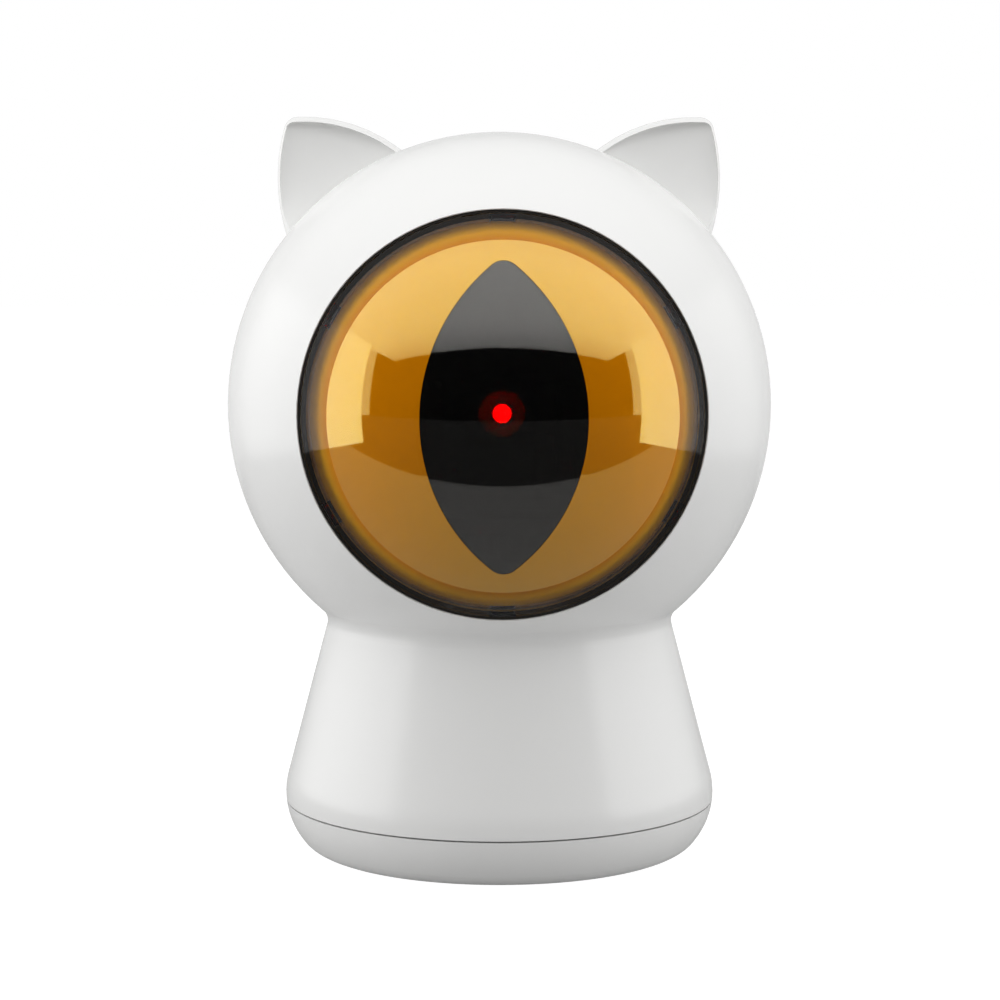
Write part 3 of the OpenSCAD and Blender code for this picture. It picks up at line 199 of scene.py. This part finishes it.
MATS["can"] = metal("nickel_can", (0.62, 0.61, 0.59, 1), 0.22, stretch=(1, 1, 1), scale=400)
MATS["bronze"] = metal("sintered_bronze", (0.5, 0.32, 0.13, 1), 0.42, stretch=(1, 1, 1), scale=1800)
MATS["brass"] = metal("turned_brass", (0.72, 0.52, 0.22, 1), 0.2, stretch=(1, 12, 1))


def rubber_material():
    """Soft dark rubber with fine pores."""
    mat, bsdf = new_material("foot_rubber", (0.035, 0.035, 0.036, 1), 0.75)
    clouds = ramp(mat, noise(mat, 130, 4), [(0.3, grey(0.026)), (0.7, grey(0.046))])
    wire(mat, clouds, bsdf.inputs["Base Color"])
    pores = noise(mat, 2600, 4)
    bump(mat, bsdf, pores, 0.5, 0.00002)
    return mat


def board_material():
    """Green solder mask with a faint grid of tracks."""
    mat, bsdf = new_material("solder_mask", (0.01, 0.09, 0.035, 1), 0.28)
    cells = add(mat, "ShaderNodeTexBrick", Scale=260)
    wire(mat, coords(mat), cells.inputs["Vector"])
    cells.inputs["Color1"].default_value = (0.012, 0.1, 0.04, 1)
    cells.inputs["Color2"].default_value = (0.009, 0.08, 0.03, 1)
    cells.inputs["Mortar"].default_value = (0.02, 0.15, 0.06, 1)
    cells.inputs["Mortar Size"].default_value = 0.06
    wire(mat, cells.outputs["Color"], bsdf.inputs["Base Color"])
    bump(mat, bsdf, noise(mat, 1500, 2), 0.2, 0.00001)
    return mat


def lens_material():
    """Clear polycarbonate; light falls through it on what lies behind."""
    mat, bsdf = new_material("clear_dome", (1.0, 0.985, 0.96, 1), 0.012,
                             Transmission_Weight=1.0, IOR=DOME_IOR)
    bsdf.inputs["Specular Tint"].default_value = grey(DOME_GLOSS)
    path = add(mat, "ShaderNodeLightPath")
    clear = add(mat, "ShaderNodeMath", operation="SUBTRACT")
    clear.inputs[0].default_value = 1.0
    wire(mat, path.outputs["Is Shadow Ray"], clear.inputs[1])
    wire(mat, clear.outputs[0], bsdf.inputs["Alpha"])
    wire(mat, span(mat, noise(mat, 60, 3), 0.35, 0.65, 0.006, 0.02), bsdf.inputs["Roughness"])
    return mat


def off_axis(mat):
    """Distance of a point from the eye's axis, in metres."""
    split = add(mat, "ShaderNodeSeparateXYZ")
    wire(mat, coords(mat), split.inputs[0])
    up = add(mat, "ShaderNodeMath", operation="SUBTRACT")
    up.inputs[1].default_value = HEAD_Z
    wire(mat, split.outputs["Z"], up.inputs[0])
    both = add(mat, "ShaderNodeCombineXYZ")
    wire(mat, split.outputs["X"], both.inputs["X"])
    wire(mat, up.outputs[0], both.inputs["Y"])
    length = add(mat, "ShaderNodeVectorMath", operation="LENGTH")
    wire(mat, both.outputs[0], length.inputs[0])
    return length.outputs["Value"]


def iris_material():
    """Lacquered amber; its skirt is painted paler than the amber, painted light that stands for light
    through the dome, and has no gloss.
    """
    mat, bsdf = new_material("amber_iris", AMBER, 0.045, IOR=IRIS_IOR)
    bsdf.inputs["Specular Tint"].default_value = IRIS_GLOSS_TINT
    r = off_axis(mat)
    # painted light: the skirt's amber is painted paler away from the iris's edge, a little less pale at
    # its foot
    skirt = ramp(mat, span(mat, r, IRIS_R, SKIRT_R, 0, 1),
                 [(0.0, AMBER), (0.25, (0.78, 0.33, 0.003, 1)), (0.6, (1.0, 0.5, 0.015, 1)),
                  (0.9, (1.0, 0.5, 0.04, 1)), (1.0, (0.8, 0.4, 0.05, 1))])
    mottled(mat, bsdf, skirt, 45, 0.96)
    front = span(mat, r, GLOSS_END, GLOSS_GONE, 1, 0)
    wire(mat, front, bsdf.inputs["Coat Weight"])
    level = span(mat, r, GLOSS_END, GLOSS_GONE, 0.5, 0.0)
    wire(mat, level, bsdf.inputs["Specular IOR Level"])
    bsdf.inputs["Coat IOR"].default_value = IRIS_COAT_IOR
    bsdf.inputs["Coat Roughness"].default_value = COAT_ROUGHNESS
    wire(mat, span(mat, noise(mat, 220, 3), 0.3, 0.7, 0.035, 0.06), bsdf.inputs["Roughness"])
    return mat


def pupil_material():
    """A smoked window: nearly black, the lit laser shows through it."""
    mat, bsdf = new_material("smoked_window", (0.002, 0.002, 0.002, 1), 0.03, IOR=1.5)
    bsdf.inputs["Alpha"].default_value = PUPIL_ALPHA
    bsdf.inputs["Coat Weight"].default_value = 1.0
    bsdf.inputs["Coat IOR"].default_value = PUPIL_COAT_IOR
    bsdf.inputs["Coat Roughness"].default_value = COAT_ROUGHNESS
    wire(mat, span(mat, noise(mat, 90, 3), 0.3, 0.7, 0.02, 0.045), bsdf.inputs["Roughness"])
    return mat


def bezel_material():
    """Matt black, with painted amber light towards the iris that stands for light from the dome's rim."""
    mat, bsdf = new_material("bezel_black", (0.012, 0.011, 0.01, 1), 0.5)
    # painted light: amber next to the iris's skirt, fading to black towards the dome's rim
    painted_rim_light = ramp(mat, span(mat, off_axis(mat), RIM_LIGHT_FULL, RIM_LIGHT_GONE, 0, 1),
                [(0.0, (0.8, 0.4, 0.05, 1)), (0.45, (0.3, 0.15, 0.025, 1)), (1.0, (0.02, 0.015, 0.01, 1))])
    mottled(mat, bsdf, painted_rim_light, 500, 0.75)
    wire(mat, span(mat, noise(mat, 900, 2), 0.3, 0.7, 0.45, 0.6), bsdf.inputs["Roughness"])
    bump(mat, bsdf, noise(mat, 3500, 2), 0.2, 0.000006)
    return mat


def laser_material():
    """The lit red lens of the laser."""
    mat, bsdf = new_material("laser_lens", (0.6, 0.0, 0.0, 1), 0.1)
    bsdf.inputs["Emission Color"].default_value = (1.0, 0.0, 0.0, 1)
    bsdf.inputs["Emission Strength"].default_value = LASER_STRENGTH
    wire(mat, ramp(mat, noise(mat, 900, 2), [(0.3, (0.5, 0, 0, 1)), (0.7, (0.7, 0, 0, 1))]),
         bsdf.inputs["Base Color"])
    return mat


MATS["rubber"] = rubber_material()
MATS["pcb"] = board_material()
MATS["lens"] = lens_material()
MATS["iris"] = iris_material()
MATS["pupil"] = pupil_material()
MATS["bezel"] = bezel_material()
MATS["laser"] = laser_material()

BY_SLOT = {"shell": "shell", "rubber": "rubber", "amber_clear": "lens", "iris": "iris", "pupil": "pupil",
           "black_plastic": "black", "grey_plastic": "grey", "tray_plastic": "tray", "nylon": "nylon",
           "steel": "steel", "bronze": "bronze", "brass": "brass", "laser_red": "laser", "pcb": "pcb",
           "chips": "chips", "cell_skin": "cell", "wire": "wire"}
BY_NODE = {"eye_bezel": "bezel", "pan_motor": "can", "tilt_motor": "can", "radio_module": "can"}
for row in frame["record"]["subparts"]:
    obj = nodes[row["node"]]
    mat = MATS[BY_NODE.get(row["node"], BY_SLOT[row["material_slot"]])]
    for s in obj.material_slots:
        s.material = mat
    if not obj.material_slots:
        obj.data.materials.append(mat)


# ------------------------------------------------------------------ mesh tools
def mesh_object(name, verts, faces, mat, smooth=True):
    mesh = bpy.data.meshes.new(name)
    mesh.from_pydata([tuple(v) for v in verts], [], faces)
    mesh.validate()
    mesh.update()
    for p in mesh.polygons:
        p.use_smooth = smooth
    obj = bpy.data.objects.new(name, mesh)
    scene.collection.objects.link(obj)
    obj.data.materials.append(mat)
    return obj


def glow(name, strength):
    """A lamp's face of even strength; returns the material and its emission node."""
    mat = bpy.data.materials.new(name)
    mat.use_nodes = True
    tree = mat.node_tree
    tree.nodes.clear()
    out = tree.nodes.new("ShaderNodeOutputMaterial")
    emit = tree.nodes.new("ShaderNodeEmission")
    emit.inputs["Color"].default_value = grey(1)
    emit.inputs["Strength"].default_value = strength
    tree.links.new(emit.outputs[0], out.inputs["Surface"])
    return mat, emit


def panel(name, corners, mat, diffuse=True):
    """A flat card of the studio: lights or darkens, and shows in reflections, but not to the camera."""
    obj = mesh_object(name, corners, [(0, 1, 2, 3)], mat, smooth=False)
    obj.visible_camera = False
    obj.visible_diffuse = diffuse
    obj.visible_shadow = False


def seen_directly(tree):
    """1 for camera, glossy and transmission rays, 0 for all others."""
    path = tree.nodes.new("ShaderNodeLightPath")
    first = tree.nodes.new("ShaderNodeMath")
    first.operation = "MAXIMUM"
    second = tree.nodes.new("ShaderNodeMath")
    second.operation = "MAXIMUM"
    tree.links.new(path.outputs["Is Camera Ray"], first.inputs[0])
    tree.links.new(path.outputs["Is Glossy Ray"], first.inputs[1])
    tree.links.new(first.outputs[0], second.inputs[0])
    tree.links.new(path.outputs["Is Transmission Ray"], second.inputs[1])
    return second.outputs[0]


# ------------------------------------------------------------------ studio: a light box, open in front
BOX_X = 0.344
CEILING_X = 0.40
CEILING_Z = HEAD_Z + 0.186
CEILING_FRONT = -0.387
SIDE_FRONT = -0.216
BOX_BACK = 0.40
CARD_FRONT = -0.163
CARD_Z = 0.0005
SIDE_FOOT = 0.001
SIDE_TOP_BACK = CEILING_Z - 0.006
SIDE_TOP_FRONT = CEILING_Z - 0.014
ROOM_X = 2
ROOM_FRONT = -2.5
WALL_Y = -1.3
WALL_TOP = 3
# strengths along +Y, as (place, strength)
CEILING_LEVELS = [(CEILING_FRONT, 0.8), (-0.25, 1.5), (-0.1, 1.75), (0.05, 0.66), (BOX_BACK, 0.38)]
LEFT_LEVELS = [(SIDE_FRONT, 2.05), (0.0, 2.05), (BOX_BACK, 0.5)]
RIGHT_LEVELS = [(SIDE_FRONT, 1.9), (0.0, 1.58), (BOX_BACK, 0.5)]
AMBIENT = 0.05
FLOOR_CARD_LIGHT = 0.36
BACK_LIGHT = 0.6
ROOM_LIGHT = 0.05
WALL_LIGHT = 0.004
FLOOR_R = 6
FLOOR_STEP = 5
FLOOR_GREY = 0.58
# their product is just over 1, so the seen floor is plain white and no shadow shows on it
FLOOR_WHITE = 1.34
FLOOR_WHITE_SHARE = 0.75


def light_along_y(name, levels):
    """A lamp's face whose strength runs through the given places along Y."""
    top = max(level for place, level in levels)
    low = levels[0][0]
    high = levels[-1][0]
    mat, emit = glow(name, top)
    split = add(mat, "ShaderNodeSeparateXYZ")
    wire(mat, coords(mat), split.inputs[0])
    stops = [((place - low) / (high - low), grey(level / top)) for place, level in levels]
    wire(mat, ramp(mat, span(mat, split.outputs["Y"], low, high, 0, 1), stops), emit.inputs["Color"])
    return mat


panel("ceiling", [(-CEILING_X, CEILING_FRONT, CEILING_Z), (-CEILING_X, BOX_BACK, CEILING_Z),
                  (CEILING_X, BOX_BACK, CEILING_Z), (CEILING_X, CEILING_FRONT, CEILING_Z)],
      light_along_y("ceiling_light", CEILING_LEVELS))
SIDES = ((-BOX_X, "side_light_left", LEFT_LEVELS), (BOX_X, "side_light_right", RIGHT_LEVELS))
for x, name, levels in SIDES:
    panel(name, [(x, SIDE_FRONT, SIDE_FOOT), (x, BOX_BACK, SIDE_FOOT), (x, BOX_BACK, SIDE_TOP_BACK),
                 (x, SIDE_FRONT, SIDE_TOP_FRONT)], light_along_y(name, levels))
panel("back_light", [(-BOX_X, BOX_BACK, SIDE_FOOT), (BOX_X, BOX_BACK, SIDE_FOOT),
                     (BOX_X, BOX_BACK, CEILING_Z), (-BOX_X, BOX_BACK, CEILING_Z)],
      glow("back_light", BACK_LIGHT)[0])
# the floor and the room in front, dimmer than the box; they give no diffuse light
panel("floor_card", [(-BOX_X, CARD_FRONT, CARD_Z), (BOX_X, CARD_FRONT, CARD_Z),
                     (BOX_X, BOX_BACK, CARD_Z), (-BOX_X, BOX_BACK, CARD_Z)],
      glow("floor_card", FLOOR_CARD_LIGHT)[0], diffuse=False)
panel("room_floor", [(-ROOM_X, ROOM_FRONT, CARD_Z), (ROOM_X, ROOM_FRONT, CARD_Z),
                     (ROOM_X, CARD_FRONT, CARD_Z), (-ROOM_X, CARD_FRONT, CARD_Z)],
      glow("room_floor", ROOM_LIGHT)[0], diffuse=False)
panel("room_wall", [(-ROOM_X, WALL_Y, 0), (ROOM_X, WALL_Y, 0), (ROOM_X, WALL_Y, WALL_TOP),
                    (-ROOM_X, WALL_Y, WALL_TOP)],
      glow("room_wall", WALL_LIGHT)[0], diffuse=False)


def floor_material():
    """White to the camera and in reflections, lit as a pale floor otherwise."""
    mat = bpy.data.materials.new("floor")
    mat.use_nodes = True
    tree = mat.node_tree
    bsdf = tree.nodes["Principled BSDF"]
    bsdf.inputs["Base Color"].default_value = grey(FLOOR_GREY)
    bsdf.inputs["Roughness"].default_value = 0.9
    bsdf.inputs["Specular IOR Level"].default_value = 0.0
    out = tree.nodes["Material Output"]
    share = tree.nodes.new("ShaderNodeMath")
    share.operation = "MULTIPLY"
    share.inputs[1].default_value = FLOOR_WHITE_SHARE
    tree.links.new(seen_directly(tree), share.inputs[0])
    emit = tree.nodes.new("ShaderNodeEmission")
    emit.inputs["Strength"].default_value = FLOOR_WHITE
    mix = tree.nodes.new("ShaderNodeMixShader")
    tree.links.new(share.outputs[0], mix.inputs[0])
    tree.links.new(bsdf.outputs[0], mix.inputs[1])
    tree.links.new(emit.outputs[0], mix.inputs[2])
    tree.links.new(mix.outputs[0], out.inputs["Surface"])
    return mat


angles = [math.radians(a) for a in range(0, 360, FLOOR_STEP)]
ring = [(FLOOR_R * math.cos(a), FLOOR_R * math.sin(a), 0) for a in angles]
floor = mesh_object("floor", ring, [tuple(range(len(ring)))], floor_material())

world = bpy.data.worlds.new("world")
scene.world = world
world.use_nodes = True
tree = world.node_tree
background = tree.nodes["Background"]
level = tree.nodes.new("ShaderNodeMapRange")
level.inputs["To Min"].default_value = AMBIENT
level.inputs["To Max"].default_value = 1.0
tree.links.new(seen_directly(tree), level.inputs["Value"])
tree.links.new(level.outputs["Result"], background.inputs["Strength"])
background.inputs["Color"].default_value = grey(1)
